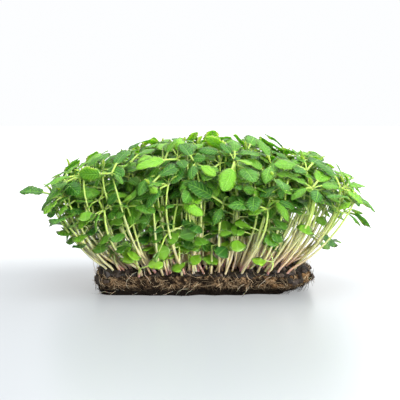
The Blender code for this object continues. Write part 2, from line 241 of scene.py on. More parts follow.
# The coir felt: how its wall runs, as shares of the mat's height and undercut with its roughness there, how
# its torn rim rises at each distance in from the edge, and the lumps and tufts of its matted fibre.
FELT_POINTS = 460
FELT_WALL = (
    (0.00, 1.00, 0.3), (0.05, 0.93, 0.8), (0.13, 0.80, 1.0), (0.22, 0.65, 1.0), (0.31, 0.48, 1.0),
    (0.40, 0.35, 1.0), (0.49, 0.25, 1.0), (0.58, 0.16, 1.0), (0.67, 0.09, 1.0), (0.76, 0.04, 1.0),
    (0.86, 0.01, 1.0), (0.95, 0.00, 0.9), (1.03, 0.03, 0.7),
)
RIM = ((0.7 * MM, 0.9 * MM), (1.5 * MM, 1.2 * MM), (2.4 * MM, 0.8 * MM), (3.4 * MM, 0.1 * MM))
FELT_LUMP = 4.5 * MM
FELT_TUFT = 1.5 * MM
FELT_COARSE = 1.1 * MM
FELT_FINE = 0.7 * MM

# The potting mix: its rings as shares of its reach, how it rounds off at the edge, and its lumps.
SOIL_POINTS = 300
SOIL_RINGS = (
    1.0, 0.998, 0.985, 0.96, 0.93, 0.895, 0.85, 0.8, 0.74, 0.67, 0.6, 0.52, 0.44, 0.36, 0.28, 0.2, 0.12,
)
SOIL_EDGE = 2.6 * MM
SOIL_RAGGED = 1.2 * MM
SOIL_SHOULDER = 0.05
SOIL_LIFT = 0.05 * MM
SOIL_COARSE = 1.6 * MM
SOIL_FINE = 0.9 * MM

# Clumps lie only this far out to the ends and this high, and loose fibres stay above the floor by this much.
CLUMPS_FROM = 42 * MM
CLUMPS_ABOVE = 5.5 * MM
LOWEST_FIBRE = 0.1 * MM

# What is strewn over the block: how many lie on a square metre, the smallest and the largest, how far they
# are spun and tilted at most, in radians, and their seed.
Strewing = namedtuple("Strewing", "per_square_metre smallest largest spin tilt seed")
CRUMBS = Strewing(150000.0, 1.0 * MM, 3.6 * MM, spin=3.1, tilt=1.5, seed=2)
CLUMPS = Strewing(120000.0, 2.5 * MM, 5.5 * MM, spin=3.1, tilt=1.5, seed=5)
SPILT_CLUMPS = Strewing(150000.0, 1.5 * MM, 4.0 * MM, spin=3.1, tilt=1.5, seed=8)
FIBRES = Strewing(800000.0, 2.5 * MM, 7 * MM, spin=0.7, tilt=0.16, seed=4)
STRAY_FIBRES = Strewing(24000.0, 6 * MM, 11 * MM, spin=1.2, tilt=0.6, seed=6)
ROOTS = Strewing(12000.0, 8 * MM, 18 * MM, spin=0.5, tilt=0.05, seed=7)


def mat_reach(angle):
    """How far the mat's uneven edge is from its centre: a rounded rectangle with a torn corner."""
    across = abs(math.cos(angle)) / (MAT_LENGTH / 2)
    along = abs(math.sin(angle)) / (MAT_DEPTH / 2)
    reach = (across**MAT_SQUARENESS + along**MAT_SQUARENESS) ** (-1 / MAT_SQUARENESS)
    towards_tear = math.cos(angle - TORN_CORNER_ANGLE)
    if towards_tear > 0:
        reach = min(reach, TORN_CORNER_REACH / towards_tear)
    return reach + MAT_TEAR * (math.sin(9 * angle) + math.sin(17 * angle + 1) - 1)


def soil_height(x, y):
    """The height of the potting layer's lumpy top above the floor. It is heaped a little at both ends."""
    lumps = noise.noise(Vector((x, y, 0)) / SOIL_GRAIN)
    heap = (2 * abs(x) / MAT_LENGTH) ** 5
    return MAT_THICKNESS + GAP + SOIL_THICKNESS + SOIL_RELIEF * lumps + SOIL_HEAP * heap


def edge_share(x, y):
    """0 at the mat's centre and 1 at its edge."""
    return math.hypot(x, y) / mat_reach(math.atan2(y, x))


def half_width(form, s):
    """Half the width of a leaf one unit long, at s along it from the stem to the tip."""
    if s <= form.stalk:
        return STALK_HALF_WIDTH
    u = min(1.0, (s - form.stalk) / (1 - form.stalk))
    if form.blunt:
        swell = u**0.5 * (1 - u**4) ** 0.5 / BLUNT_PEAK
    else:
        swell = u**0.55 * (1 - u) ** 0.62 / POINTED_PEAK
    return max(form.width * swell, STALK_HALF_WIDTH * (1 - u))


def leaf_point(form, s, side, raised=0.0):
    """A point of a leaf one unit long. side is 0 on its midrib and -1 or 1 at its edges."""
    bend = form.droop * s
    ahead = math.sin(bend) / form.droop
    down = (1 - math.cos(bend)) / form.droop
    upward = Vector((math.sin(bend), 0, math.cos(bend)))
    width = half_width(form, s) * side
    middle = Vector((ahead, width * math.cos(form.fold), -down))
    return middle + upward * (abs(width) * math.sin(form.fold) + raised)


def leaf_turn(azimuth, elevation, roll):
    """Turns a leaf that runs along +X to this compass direction, start angle and roll."""
    flat = Matrix.Rotation(azimuth, 3, "Z") @ Matrix.Rotation(-elevation, 3, "Y")
    return flat @ Matrix.Rotation(roll, 3, "X")


def leaf_probes(leaf):
    """Points spread over a leaf, for telling whether it stands clear."""
    probes = []
    steps = max(4, round(leaf.size / LEAF_STEP))
    for i in range(2, steps + 1):
        s = i / steps
        across = max(1, round(half_width(leaf.form, s) * leaf.size / LEAF_STEP))
        for k in range(-across, across + 1):
            local = leaf_point(leaf.form, s, k / across)
            probes.append(leaf.at + leaf.turn @ (local * leaf.size))
    return probes


def bezier(corners, t):
    """A point of the cubic curve through these four control points."""
    a, b, c, d = corners
    u = 1 - t
    return a * u**3 + b * (3 * u * u * t) + c * (3 * u * t * t) + d * t**3


def stem_probes(path):
    """Points along a stem, from a little above its root knot."""
    steps = max(6, round((path[3] - path[0]).length / STEM_STEP))
    points = [bezier(path, i / steps) for i in range(steps + 1)]
    return [p for p in points if (p - path[0]).length > KNOT_REACH]


def point_tree(points):
    """The points sorted so that near ones are found quickly."""
    tree = kdtree.KDTree(len(points))
    for i, p in enumerate(points):
        tree.insert(p, i)
    tree.balance()
    return tree


class Held:
    """Points of stems and leaves with the tuft and kind that each belongs to."""

    def __init__(self, points, owners):
        self.points = points
        self.owners = owners
        self.tree = point_tree(points)

    def leaves_free(self, p, clearance, tuft, kind):
        """Whether nothing is too near this point, apart from stems of the same tuft near a stem."""
        for _, index, _ in self.tree.find_range(p, clearance):
            if self.owners[index] != (tuft, kind) or kind != "stem":
                return False
        return True


class Clearing:
    """The space already held by stems and leaves: long held, and held lately in a smaller tree."""

    def __init__(self, clearance):
        self.clearance = clearance
        self.long = Held([], [])
        self.late = Held([], [])

    def is_free(self, probes, tuft, kind):
        """Whether all probes stay clear of the floor, the potting layer and what others hold."""
        for p in probes:
            lowest = FLOOR_CLEARANCE
            if edge_share(p.x, p.y) < OVER_THE_MAT:
                lowest = soil_height(p.x, p.y) + SOIL_CLEARANCE
            if p.z < lowest:
                return False
            for held in (self.long, self.late):
                if not held.leaves_free(p, self.clearance, tuft, kind):
                    return False
        return True

    def hold(self, probes, tuft, kind):
        self.late = Held(self.late.points + probes, self.late.owners + [(tuft, kind)] * len(probes))
        if len(self.late.points) > MOST_LATE:
            self.long = Held(self.long.points + self.late.points, self.long.owners + self.late.owners)
            self.late = Held([], [])


def crown_reach(height):
    """How far the crown reaches to the left and right at this height."""
    for (low, low_reach), (high, high_reach) in zip(CROWN_OUTLINE, CROWN_OUTLINE[1:]):
        if height <= high * MM:
            share = (height - low * MM) / ((high - low) * MM)
            return (low_reach + (high_reach - low_reach) * share) * MM
    return 0.0


class CrownClearing(Clearing):
    """The same for the sprouts between, which stay inside the crown's outline and off its open low end."""

    def is_free(self, probes, tuft, kind):
        for p in probes:
            reach = crown_reach(p.z)
            if abs(p.x) > reach or abs(p.y) > reach * CROWN_DEPTH_SHARE:
                return False
            if kind == "leaf" and p.x > OPEN_FROM and p.z < OPEN_BELOW:
                return False
        return super().is_free(probes, tuft, kind)


def tuft_places(draw):
    """Where the tufts stand: rows along the mat, each place drawn a little off its row."""
    places = []
    for row, count in enumerate(TUFT_ROWS):
        across = (row + 0.5) / len(TUFT_ROWS) * 2 - 1
        for k in range(count):
            along = (k + 0.5) / count * 2 - 1
            x = along * (MAT_LENGTH / 2 - TUFT_INSET_SIDEWAYS) + draw.uniform(-TUFT_JITTER, TUFT_JITTER)
            y = across * (MAT_DEPTH / 2 - TUFT_INSET_FORWARDS) + draw.uniform(-TUFT_JITTER, TUFT_JITTER)
            limit = mat_reach(math.atan2(y, x)) - SOIL_SETBACK - KNOT_RADIUS - TUFT_MARGIN
            if math.hypot(x, y) > limit:
                x, y = Vector((x, y)).normalized() * limit
            places.append(Vector((x, y, soil_height(x, y) + KNOT_RISE)))
    return places


def draw_path(root, height_range, draw):
    """A stem's curve: out towards the nearest edge first, and then up."""
    share = edge_share(root.x, root.y)
    top = Vector()
    top.x = root.x * (1 + LEAN_OUT_SIDEWAYS * share) + draw.uniform(-LEAN_JITTER, LEAN_JITTER)
    top.y = root.y * (1 + LEAN_OUT_FORWARDS * share) + draw.uniform(-LEAN_JITTER, LEAN_JITTER)
    sideways = FALL_SIDEWAYS * (2 * abs(root.x) / MAT_LENGTH) ** CROWN_ROUNDNESS
    forwards = FALL_FORWARDS * (2 * abs(root.y) / MAT_DEPTH) ** CROWN_ROUNDNESS
    top.z = CROWN_HEIGHT - sideways - forwards - height_range * draw.random() ** TALL_ONES
    bends = []
    for out, up in (LOW_BEND, HIGH_BEND):
        bend = root + (top - root) * out
        bend.x += draw.uniform(-BEND_JITTER, BEND_JITTER)
        bend.y += draw.uniform(-BEND_JITTER, BEND_JITTER)
        bend.z = root.z + (top.z - root.z) * up
        bends.append(bend)
    return (root, *bends, top)


def draw_leaf(kind, at, azimuth, tuft, held, draw):
    """A leaf bent clear of all that stands already, or None where nothing fits."""
    form = draw.choice(kind.forms)
    size = draw.uniform(*kind.sizes)
    outward = math.atan2(at.y, at.x)
    tilt = FACE_OUT * min(1.0, edge_share(at.x, at.y))
    for attempt in range(LEAF_TRIES):
        swing = FIRST_SWING + MORE_SWING * attempt
        heading = azimuth + draw.uniform(-swing, swing)
        elevation = draw.uniform(*kind.elevations) - tilt * math.cos(heading - outward)
        roll = draw.uniform(-swing, swing) + tilt * math.sin(heading - outward)
        leaf = Leaf(form, at, leaf_turn(heading, elevation, roll), size)
        probes = leaf_probes(leaf)
        if held.is_free(probes, tuft, "leaf"):
            return leaf, probes
    return None


def grow_sprout(tuft, place, height_range, held, draw):
    """One sprout of a tuft, or None where its stem finds no room."""
    for _ in range(STEM_TRIES):
        root = place.copy()
        root.x += draw.uniform(-ROOT_SPREAD, ROOT_SPREAD)
        root.y += draw.uniform(-ROOT_SPREAD, ROOT_SPREAD)
        path = draw_path(root, height_range, draw)
        stem = stem_probes(path)
        if held.is_free(stem, tuft, "stem"):
            break
    else:
        return None
    azimuth = draw.uniform(0, math.tau)
    node = draw.uniform(*COTYLEDON_HEIGHT)
    leaves = []
    own = []
    for kind, along, first in ((TRUE_LEAF, 1, azimuth + math.pi / 2), (COTYLEDON, node, azimuth)):
        for side in (0, math.pi):
            found = draw_leaf(kind, bezier(path, along), first + side, tuft, held, draw)
            if found:
                leaves.append(found[0])
                own += found[1]
    if len(leaves) < FEWEST_LEAVES:
        return None
    held.hold(stem, tuft, "stem")
    held.hold(own, tuft, "leaf")
    return Sprout(tuft, path, node, leaves)


def grow_sprouts(places, held):
    """Every sprout of the solid model, grown one after another in the same mixed order."""
    draw = random.Random(SEED)
    sprouts = []
    for _ in range(SPROUTS_IN_A_TUFT):
        order = list(range(len(places)))
        draw.shuffle(order)
        for tuft in order:
            sprout = grow_sprout(tuft, places[tuft], HEIGHT_RANGE, held, draw)
            if sprout:
                sprouts.append(sprout)
    return sprouts


def crown_clearing(solid_held):
    """What the solid sprouts hold, with the crown's outline and room for closer neighbours."""
    held = CrownClearing(MORE_CLEARANCE)
    held.long = solid_held.long
    held.late = solid_held.late
    return held


def grow_more(sprouts, held):
    """More sprouts between those of the solid model, rooted anywhere in the potting layer with room."""
    draw = random.Random(MORE_SEED)
    roots = [sprout.path[0].xy for sprout in sprouts]
    more = []
    for number in range(MORE_SPROUTS):
        angle = draw.uniform(0, math.tau)
        share = draw.random() ** 0.5
        reach = (mat_reach(angle) - SOIL_SETBACK - KNOT_RADIUS) * share
        spot = Vector((reach * math.cos(angle), reach * math.sin(angle)))
        spacing = MORE_ROOT_SPACING if spot.x < SPARSE_FROM else SPARSE_SPACING
        if any((spot - root).length < spacing for root in roots):
            continue
        place = Vector((*spot, soil_height(*spot)))
        sprout = grow_sprout(FIRST_MORE_TUFT + number, place, MORE_HEIGHT_RANGE, held, draw)
        if sprout:
            roots.append(sprout.path[0].xy)
            more.append(sprout)
    return more


def grow_runts(held):
    """Short late sprouts near the mat's edge, with only their seed leaves open."""
    draw = random.Random(RUNT_SEED)
    runts = []
    for number in range(RUNTS):
        angle = draw.uniform(0, math.tau)
        out = Vector((math.cos(angle), math.sin(angle), 0))
        root = out * (mat_reach(angle) - SOIL_SETBACK - draw.uniform(*RUNT_INSET))
        root.z = soil_height(root.x, root.y)
        rise = Vector((0, 0, draw.uniform(*RUNT_HEIGHT)))
        top = root + rise + out * RUNT_LEAN
        path = (root, root + rise / 3 + out * RUNT_LEAN, root + rise * 2 / 3 + out * RUNT_LEAN, top)
        tuft = -1 - number
        leaves = []
        own = []
        for side in (0, math.pi):
            found = draw_leaf(COTYLEDON, top, angle + math.pi / 2 + side, tuft, held, draw)
            if found:
                leaves.append(found[0])
                own += found[1]
        if leaves:
            held.hold(own, tuft, "leaf")
            runts.append(Sprout(tuft, path, 1, leaves))
    return runts


def grow_reaching(held):
    """The sprout that leans furthest to the left, one of its leaves held out level."""
    path = tuple(Vector(corner) * MM for corner in REACHING_PATH)
    leaves = [
        Leaf(TRUE_LEAF_FORMS[3], path[3], leaf_turn(math.pi, 0.35, -0.45), REACHING_LEAF_SIZE),
        Leaf(TRUE_LEAF_FORMS[1], path[3], leaf_turn(-0.3, 0.80, 0.7), 0.9 * REACHING_LEAF_SIZE),
    ]
    for side in (-1, 1):
        turn = leaf_turn(side * math.pi / 2, 0.3, 0)
        leaves.append(Leaf(COTYLEDON_FORMS[1], bezier(path, 0.6), turn, FRONT_RUNT_LEAF_SIZE))
    for leaf in leaves:
        held.hold(leaf_probes(leaf), REACHING_TUFT, "leaf")
    return Sprout(REACHING_TUFT, path, 0.6, leaves)


def grow_front_runt():
    """The late sprout at the front left, its two seed leaves turned to the front."""
    path = tuple(Vector(corner) * MM for corner in FRONT_RUNT_PATH)
    left = Leaf(COTYLEDON_FORMS[0], path[3], leaf_turn(math.pi + 0.2, 0.85, -1.2), FRONT_RUNT_LEAF_SIZE)
    right = Leaf(COTYLEDON_FORMS[2], path[3], leaf_turn(-0.2, 0.35, 1.1), FRONT_RUNT_LEAF_SIZE)
    return Sprout(-2 - RUNTS, path, 1, [left, right])


def grow_bent():
    """The bent sprout at the front, whose seed leaves hang closed from its hooked end."""
    path = tuple(Vector(corner) * MM for corner in BENT_PATH)
    leaves = []
    for heading in (2.9, 3.5):
        leaves.append(Leaf(COTYLEDON_FORMS[2], path[3], leaf_turn(heading, -1.1, 0.3), BENT_LEAF_SIZE))
    return Sprout(-1 - RUNTS, path, 1, leaves)


def add_second_leaves(sprouts, held):
    """A half-grown pair of leaves across the first pair, on every sprout with room for it."""
    draw = random.Random(MORE_SEED)
    second = []
    for number, sprout in enumerate(sprouts):
        azimuth = draw.uniform(0, math.tau)
        for side in (0, math.pi):
            found = draw_leaf(SECOND_LEAF, sprout.path[3], azimuth + side, SECOND_TUFT - number, held, draw)
            if found:
                second.append(found[0])
                held.hold(found[1], SECOND_TUFT - number, "leaf")
    return second


def add_young_leaves(sprouts):
    """The small second pair of true leaves, upright on the top of some sprouts."""
    draw = random.Random(MORE_SEED)
    young = []
    for sprout in sprouts:
        if draw.random() > WITH_YOUNG_LEAVES:
            continue
        azimuth = draw.uniform(0, math.tau)
        size = draw.uniform(*YOUNG_LEAF.sizes)
        for side in (0, math.pi):
            turn = leaf_turn(azimuth + side, draw.uniform(*YOUNG_LEAF.elevations), draw.uniform(-0.3, 0.3))
            young.append(Leaf(draw.choice(YOUNG_LEAF_FORMS), sprout.path[3], turn, size))
    return young


def blade_stations(form, pairs):
    """How far along a fine leaf its cross-sections are, each with the tooth or notch of its edge there."""
    stations = [(form.stalk * share, 1.0) for share in (0, 0.35, 0.7, 1)]
    if form.blunt:
        for u in (0.04, 0.12, 0.25, 0.42, 0.6, 0.76, 0.89, 0.97):
            stations.append((form.stalk + (1 - form.stalk) * u, 1.0))
        return stations
    for k in range(pairs):
        for u, edge in (((k + 0.3) / pairs, 1 - TOOTH_DEPTH), ((k + 0.85) / pairs, 1 + TOOTH_DEPTH)):
            stations.append((form.stalk + (1 - form.stalk) * u, edge))
    return stations


def finished_mesh(name, bm, smooth):
    """The mesh that these edited faces make, shaded smooth or flat."""
    mesh = bpy.data.meshes.new(name)
    bm.to_mesh(mesh)
    bm.free()
    if smooth:
        mesh.shade_smooth()
    return mesh


def fine_leaf(name, form, pairs, phase):
    """One leaf a unit long as a thin closed shell: a round stalk, a midrib, and a quilted or smooth blade."""
    bm = bmesh.new()
    along = bm.verts.layers.float.new("along")
    across = bm.verts.layers.float.new("across")
    under = bm.faces.layers.float.new("under")
    ring_sides = ((-1, 0), (-0.55, 1), (0, 1), (0.55, 1), (1, 0), (0.55, -1), (0, -1), (-0.55, -1))

    def vertex(s, side, edge, face):
        u = (s - form.stalk) / (1 - form.stalk)
        blade = min(1.0, max(0.0, u / 0.12))
        rounded = (1 - side * side) ** 0.5
        thick = STALK_HALF_THICKNESS * (1 - blade) + BLADE_HALF_THICKNESS * blade
        raised = thick * rounded * face
        if side == 0:
            raised -= MIDRIB_DEPTH * blade * max(0.0, 1 - u) * (1 if face < 0 else 0.5)
        quilt = 0.0 if form.blunt else QUILT_DEPTH * abs(math.sin(math.pi * pairs * 0.5 * u + phase))
        wave = WAVE_DEPTH * math.sin(9 * u + phase + side) * side * side
        raised += blade * half_width(form, s) * (quilt * (1 - abs(2 * abs(side) - 1)) + wave)
        corner = bm.verts.new(leaf_point(form, s, side * edge, raised))
        corner[along] = u
        corner[across] = side
        return corner

    rings = []
    for s, edge in blade_stations(form, pairs):
        rings.append([vertex(s, side, edge, face) for side, face in ring_sides])
    count = len(ring_sides)
    for lower, upper in zip(rings, rings[1:]):
        for i in range(count):
            j = (i + 1) % count
            face = bm.faces.new((lower[i], lower[j], upper[j], upper[i]))
            face[under] = float(i >= count // 2)
    bm.faces.new(rings[0])
    tip = vertex(1.0, 0, 1.0, 0)
    for i in range(count):
        face = bm.faces.new((rings[-1][i], rings[-1][(i + 1) % count], tip))
        face[under] = float(i >= count // 2)
    bmesh.ops.recalc_face_normals(bm, faces=bm.faces)
    return bpy.data.objects.new(name, finished_mesh(name, bm, True))


def point_mesh(name, places, values):
    """A mesh of loose points, with an attribute for each of these named lists of values."""
    mesh = bpy.data.meshes.new(name)
    mesh.from_pydata(places, [], [])
    add_values(mesh, values)
    return mesh


def add_values(mesh, values):
    """Point attributes from named lists: whole numbers, numbers or vectors, told by the list's first item."""
    for label, numbers in values.items():
        first = numbers[0]
        if isinstance(first, int):
            mesh.attributes.new(label, "INT", "POINT").data.foreach_set("value", numbers)
        elif isinstance(first, float):
            mesh.attributes.new(label, "FLOAT", "POINT").data.foreach_set("value", numbers)
        else:
            flat = [number for vector in numbers for number in vector]
            mesh.attributes.new(label, "FLOAT_VECTOR", "POINT").data.foreach_set("vector", flat)


def new_tree(name, inputs):
    """A Geometry Nodes tree with these named inputs after its geometry, and its two end nodes."""
    tree = bpy.data.node_groups.new(name, "GeometryNodeTree")
    tree.interface.new_socket("Geometry", in_out="INPUT", socket_type="NodeSocketGeometry")
    for label, kind in inputs.items():
        tree.interface.new_socket(label, in_out="INPUT", socket_type=kind)
    tree.interface.new_socket("Geometry", in_out="OUTPUT", socket_type="NodeSocketGeometry")
    return tree, tree.nodes.new("NodeGroupInput"), tree.nodes.new("NodeGroupOutput")


def add_node(tree, kind, links=None, **settings):
    """A node with these settings, its inputs linked from sockets or set to values."""
    node = tree.nodes.new(kind)
    for label, value in settings.items():
        setattr(node, label, value)
    for label, value in (links or {}).items():
        if isinstance(value, bpy.types.NodeSocket):
            tree.links.new(value, node.inputs[label])
        else:
            node.inputs[label].default_value = value
    return node


def named_value(tree, label, kind):
    """The output of a node that reads this attribute of the points."""
    reader = add_node(tree, "GeometryNodeInputNamedAttribute", {"Name": label}, data_type=kind)
    return next(socket for socket in reader.outputs if socket.enabled)


def ended(tree, start, end, made):
    """Ends a tree: what it made becomes real geometry, takes its finish and is handed on."""
    real = add_node(tree, "GeometryNodeRealizeInstances", {"Geometry": made})
    done = add_node(tree, "GeometryNodeSetMaterial", {
        "Geometry": real.outputs["Geometry"],
        "Material": start.outputs["Finish"],
    })
    tree.links.new(done.outputs["Geometry"], end.inputs["Geometry"])
    return tree


def leaf_tree():
    """Sets a leaf shape on every point, by its shape number, turn and size."""
    inputs = {"Shapes": "NodeSocketCollection", "Finish": "NodeSocketMaterial"}
    tree, start, end = new_tree("leaves on points", inputs)
    shapes = add_node(tree, "GeometryNodeCollectionInfo", {
        "Collection": start.outputs["Shapes"],
        "Separate Children": True,
        "Reset Children": True,
    })
    turn = add_node(tree, "FunctionNodeEulerToRotation", {"Euler": named_value(tree, "turn", "FLOAT_VECTOR")})
    placed = add_node(tree, "GeometryNodeInstanceOnPoints", {
        "Points": start.outputs["Geometry"],
        "Instance": shapes.outputs[0],
        "Pick Instance": True,
        "Instance Index": named_value(tree, "shape", "INT"),
        "Rotation": turn.outputs["Rotation"],
        "Scale": named_value(tree, "size", "FLOAT"),
    })
    return ended(tree, start, end, placed.outputs["Instances"])


def stem_tree():
    """Sweeps a round section along every chain of points, by the radius stored on them."""
    inputs = {"Sides": "NodeSocketInt", "Finish": "NodeSocketMaterial"}
    tree, start, end = new_tree("stems along chains", inputs)
    chain = add_node(tree, "GeometryNodeMeshToCurve", {"Mesh": start.outputs["Geometry"]})
    section = add_node(tree, "GeometryNodeCurvePrimitiveCircle", {
        "Resolution": start.outputs["Sides"],
        "Radius": 1.0,
    })
    swept = add_node(tree, "GeometryNodeCurveToMesh", {
        "Curve": chain.outputs["Curve"],
        "Profile Curve": section.outputs["Curve"],
        "Scale": named_value(tree, "thickness", "FLOAT"),
        "Fill Caps": True,
    })
    return ended(tree, start, end, swept.outputs["Mesh"])


def scatter_tree():
    """Strews shapes over a surface, each lying on it, turned and sized at random by a fixed seed."""
    inputs = {
        "Shapes": "NodeSocketCollection",
        "Per square metre": "NodeSocketFloat",
        "Smallest": "NodeSocketFloat",
        "Largest": "NodeSocketFloat",
        "Spin": "NodeSocketFloat",
        "Tilt": "NodeSocketFloat",
        "Seed": "NodeSocketInt",
        "Finish": "NodeSocketMaterial",
    }
    tree, start, end = new_tree("strewn on a surface", inputs)
    points = add_node(tree, "GeometryNodeDistributePointsOnFaces", {
        "Mesh": start.outputs["Geometry"],
        "Density": start.outputs["Per square metre"],
        "Seed": start.outputs["Seed"],
    })
    upright = add_node(tree, "FunctionNodeAlignRotationToVector", {
        "Vector": points.outputs["Normal"],
    }, axis="Z")
    level = add_node(tree, "ShaderNodeVectorMath", {
        0: points.outputs["Normal"],
        1: (0, 0, 1),
    }, operation="CROSS_PRODUCT")
    lying = add_node(tree, "FunctionNodeAlignRotationToVector", {
        "Rotation": upright.outputs["Rotation"],
        "Vector": level.outputs["Vector"],
    }, axis="X", pivot_axis="Z")
    most = add_node(tree, "ShaderNodeCombineXYZ", {
        "X": start.outputs["Tilt"],
        "Y": start.outputs["Tilt"],
        "Z": start.outputs["Spin"],
    })
    least = add_node(tree, "ShaderNodeVectorMath", {0: most.outputs[0], "Scale": -1}, operation="SCALE")
    spin = add_node(tree, "FunctionNodeRandomValue", {
        0: least.outputs["Vector"],
        1: most.outputs[0],
        "Seed": start.outputs["Seed"],
    }, data_type="FLOAT_VECTOR")
    spun = add_node(tree, "FunctionNodeEulerToRotation", {"Euler": spin.outputs[0]})
    turned = add_node(tree, "FunctionNodeRotateRotation", {
        "Rotation": lying.outputs["Rotation"],
        "Rotate By": spun.outputs["Rotation"],
    }, rotation_space="LOCAL")
    size = add_node(tree, "FunctionNodeRandomValue", {
        2: start.outputs["Smallest"],
        3: start.outputs["Largest"],
    }, data_type="FLOAT")
    shade = add_node(tree, "FunctionNodeRandomValue", {"Seed": 3}, data_type="FLOAT")
    marked = add_node(tree, "GeometryNodeStoreNamedAttribute", {
        "Geometry": points.outputs["Points"],
        "Name": "shade",
        "Value": shade.outputs[1],
    }, data_type="FLOAT", domain="POINT")
    shapes = add_node(tree, "GeometryNodeCollectionInfo", {
        "Collection": start.outputs["Shapes"],
        "Separate Children": True,
        "Reset Children": True,
    })
    placed = add_node(tree, "GeometryNodeInstanceOnPoints", {
        "Points": marked.outputs["Geometry"],
        "Instance": shapes.outputs[0],
        "Pick Instance": True,
        "Rotation": turned.outputs["Rotation"],
        "Scale": size.outputs[1],
    })
    real = add_node(tree, "GeometryNodeRealizeInstances", {"Geometry": placed.outputs["Instances"]})
    position = tree.nodes.new("GeometryNodeInputPosition").outputs[0]
    where = add_node(tree, "ShaderNodeSeparateXYZ", {"Vector": position})
    above = add_node(tree, "ShaderNodeMath", {0: where.outputs["Z"], 1: LOWEST_FIBRE}, operation="MAXIMUM")
    kept = add_node(tree, "ShaderNodeCombineXYZ", {
        "X": where.outputs["X"],
        "Y": where.outputs["Y"],
        "Z": above.outputs[0],
    })
    settled = add_node(tree, "GeometryNodeSetPosition", {
        "Geometry": real.outputs["Geometry"],
        "Position": kept.outputs[0],
    })
    done = add_node(tree, "GeometryNodeSetMaterial", {
        "Geometry": settled.outputs["Geometry"],
        "Material": start.outputs["Finish"],
    })
    tree.links.new(done.outputs["Geometry"], end.inputs["Geometry"])
    return tree


def grown(name, mesh, tree, values):
    """The plain mesh piece that a tree makes of this mesh, with its named inputs set."""
    obj = bpy.data.objects.new(name, mesh)
    bpy.context.scene.collection.objects.link(obj)
    modifier = obj.modifiers.new("tree", "NODES")
    modifier.node_group = tree
    for item in tree.interface.items_tree:
        if item.name in values and item.in_out == "INPUT":
            modifier[item.identifier] = values[item.name]
    graph = bpy.context.evaluated_depsgraph_get()
    evaluated = obj.evaluated_get(graph)
    made = bpy.data.meshes.new_from_object(evaluated, preserve_all_data_layers=True, depsgraph=graph)
    obj.modifiers.remove(modifier)
    obj.data = made
    made.name = name
    return obj


def grown_of(name, shapes, mesh, tree, values):
    """The piece that a tree makes of copies of these shapes, which are then cleared away."""
    group = bpy.data.collections.new(f"{name}_shapes")
    for shape in shapes:
        group.objects.link(shape)
    piece = grown(name, mesh, tree, {"Shapes": group, **values})
    for shape in shapes:
        bpy.data.objects.remove(shape)
    return piece


def shader(name, settings):
    """A material and its principled node, with the settings that are the same all over."""
    material = bpy.data.materials.new(name)
    material.use_nodes = True
    surface = material.node_tree.nodes["Principled BSDF"]
    for label, value in settings.items():
        surface.inputs[label].default_value = value
    return material, surface


def value_of(tree, label):
    """The number that a piece's attribute holds."""
    return add_node(tree, "ShaderNodeAttribute", attribute_name=label).outputs["Fac"]


def calc(tree, operation, *terms):
    """The result of a sum in a material."""
    return add_node(tree, "ShaderNodeMath", dict(enumerate(terms)), operation=operation).outputs[0]


def inverse(tree, value):
    """One less this value."""
    return calc(tree, "SUBTRACT", 1.0, value)


def smooth_step(tree, value, low, high):
    """0 below low and 1 above high, with a soft change between."""
    links = {"Value": value, "From Min": low, "From Max": high}
    return add_node(tree, "ShaderNodeMapRange", links, interpolation_type="SMOOTHSTEP").outputs["Result"]


def blend(tree, share, first, second):
    """A colour between two, each of which is a socket or red, green and blue."""
    first, second = ((*colour, 1) if isinstance(colour, tuple) else colour for colour in (first, second))
    return add_node(tree, "ShaderNodeMix", {0: share, 6: first, 7: second}, data_type="RGBA").outputs[2]


def mottle(tree, scale, detail=3.0):
    """A soft noise over the piece, at this many spots to a metre."""
    where = tree.nodes.new("ShaderNodeTexCoord").outputs["Object"]
    node = add_node(tree, "ShaderNodeTexNoise", {"Vector": where, "Scale": scale, "Detail": detail})
    return node.outputs[0]


def place_along(tree, axis):
    """How far along X, Y or Z a point of the piece lies."""
    where = tree.nodes.new("ShaderNodeTexCoord").outputs["Object"]
    return add_node(tree, "ShaderNodeSeparateXYZ", {"Vector": where}).outputs[axis]


def add_bump(tree, surface, height, strength, distance):
    """Fine relief from a height pattern, this deep."""
    bump = add_node(tree, "ShaderNodeBump", {"Height": height, "Strength": strength, "Distance": distance})
    tree.links.new(bump.outputs["Normal"], surface.inputs["Normal"])


def vein_pattern(tree, pairs):
    """1 on the midrib and the side veins of a leaf and 0 between them."""
    along = value_of(tree, "along")
    across = calc(tree, "ABSOLUTE", value_of(tree, "across"))
    rib = inverse(tree, smooth_step(tree, across, 0.03, 0.11))
    slant = calc(tree, "SUBTRACT", calc(tree, "MULTIPLY", along, pairs), calc(tree, "MULTIPLY", across, 1.6))
    off_line = calc(tree, "ABSOLUTE", calc(tree, "SUBTRACT", calc(tree, "FRACT", slant), 0.5))
    side_veins = inverse(tree, smooth_step(tree, off_line, 0.05, 0.17))
    return calc(tree, "MAXIMUM", rib, calc(tree, "MULTIPLY", side_veins, 0.75))


